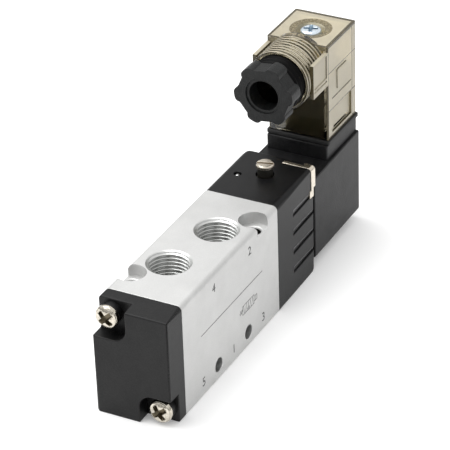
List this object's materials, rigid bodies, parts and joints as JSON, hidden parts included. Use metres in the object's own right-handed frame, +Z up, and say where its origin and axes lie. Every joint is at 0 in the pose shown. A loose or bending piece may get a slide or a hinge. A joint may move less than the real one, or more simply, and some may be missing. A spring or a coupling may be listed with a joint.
{
  "type": "solenoid directional valve",
  "caption": "Pneumatic five-port solenoid valve: aluminium spool body with threaded ports, pilot with manual override, coil and clear plug connector with cable gland.",
  "frame": {"origin": "centre of the supply port's mouth, on the base face", "axes": "+X along the valve towards the coil, +Z up from the base face to the top ports"},
  "size_m": [0.0948, 0.018, 0.0532],
  "materials": {
    "body_aluminium": "bead-blasted, clear anodised",
    "cover_plastic": "moulded, fine texture",
    "pilot_plastic": "moulded, fine texture",
    "coil_resin": "moulded, satin",
    "gland_plastic": "moulded, satin",
    "block_plastic": "moulded",
    "clear_plastic": "polished, smoky clear",
    "white_plastic": "moulded",
    "rubber_seals": "moulded nitrile rubber",
    "nickel_screws": "nickel-plated steel",
    "zinc_screw": "zinc-plated steel",
    "steel_parts": "machined",
    "plate_steel": "stamped, nickel-plated",
    "override_brass": "turned, nickel-plated",
    "brass_parts": "stamped and turned",
    "copper_wire": "enamelled copper"
  },
  "bodies": {
    "valve": {"valve_body": "body_aluminium", "end_cover": "cover_plastic", "end_cover_gasket": "rubber_seals", "end_cover_screws": "nickel_screws", "return_spring": "steel_parts", "pilot_gasket": "rubber_seals", "pilot_body": "pilot_plastic", "pilot_screws": "nickel_screws", "override_spring": "steel_parts", "plug_ball": "steel_parts", "retaining_plate": "plate_steel", "pilot_nozzle": "brass_parts", "tube_seal": "rubber_seals", "armature_tube": "steel_parts", "armature_spring": "steel_parts", "fixed_core": "steel_parts", "coil_housing": "coil_resin", "coil_bobbin": "white_plastic", "coil_winding": "copper_wire", "coil_yoke": "steel_parts", "coil_terminals": "brass_parts", "connector_gasket": "rubber_seals", "connector_housing": "clear_plastic", "terminal_block": "block_plastic", "contact_clips": "brass_parts", "connector_screw": "zinc_screw", "screw_washer": "rubber_seals", "gland_grommet": "rubber_seals"},
    "spool_set": {"spool": "steel_parts", "spool_seals": "rubber_seals", "pilot_piston": "white_plastic", "piston_seal": "rubber_seals"},
    "armature_set": {"armature": "steel_parts", "armature_seal": "rubber_seals"},
    "override_seal_ring": {"override_seal": "rubber_seals"},
    "override": {"override_stem": "override_brass"},
    "gland_washer_ring": {"gland_washer": "steel_parts"},
    "gland_nut_body": {"gland_nut": "gland_plastic"}
  },
  "joints": [
    {"name": "spool_shift", "type": "slide", "parent": "valve", "child": "spool_set", "axis": [-1, 0, 0], "range_m": [0, 0.003], "stiffness_N_per_m": 800, "deforming": ["return_spring"]},
    {"name": "armature_pull", "type": "slide", "parent": "valve", "child": "armature_set", "axis": [1, 0, 0], "range_m": [0, 0.0008], "stiffness_N_per_m": 600, "deforming": ["armature_spring"]},
    {"name": "override_push", "type": "slide", "parent": "valve", "child": "override_seal_ring", "axis": [0, 0, -1], "range_m": [0, 0.0015], "stiffness_N_per_m": 500, "deforming": ["override_spring"]},
    {"name": "override_turn", "type": "hinge", "parent": "override_seal_ring", "child": "override", "pos_m": [0.0334, -0.0004, 0.027], "axis": [0, 0, -1], "range_deg": [0, 90]},
    {"name": "gland_back_off", "type": "slide", "parent": "valve", "child": "gland_washer_ring", "axis": [-1, 0, 0], "range_m": [0, 0.003]},
    {"name": "gland_nut_turn", "type": "hinge", "parent": "gland_washer_ring", "child": "gland_nut_body", "pos_m": [0.0339, 0, 0.04606], "axis": [-1, 0, 0], "range_deg": [0, 760]}
  ],
  "couplings": [
    {"joint": "gland_nut_turn", "follows": "gland_back_off", "rad_per_m": 4188.8}
  ]
}
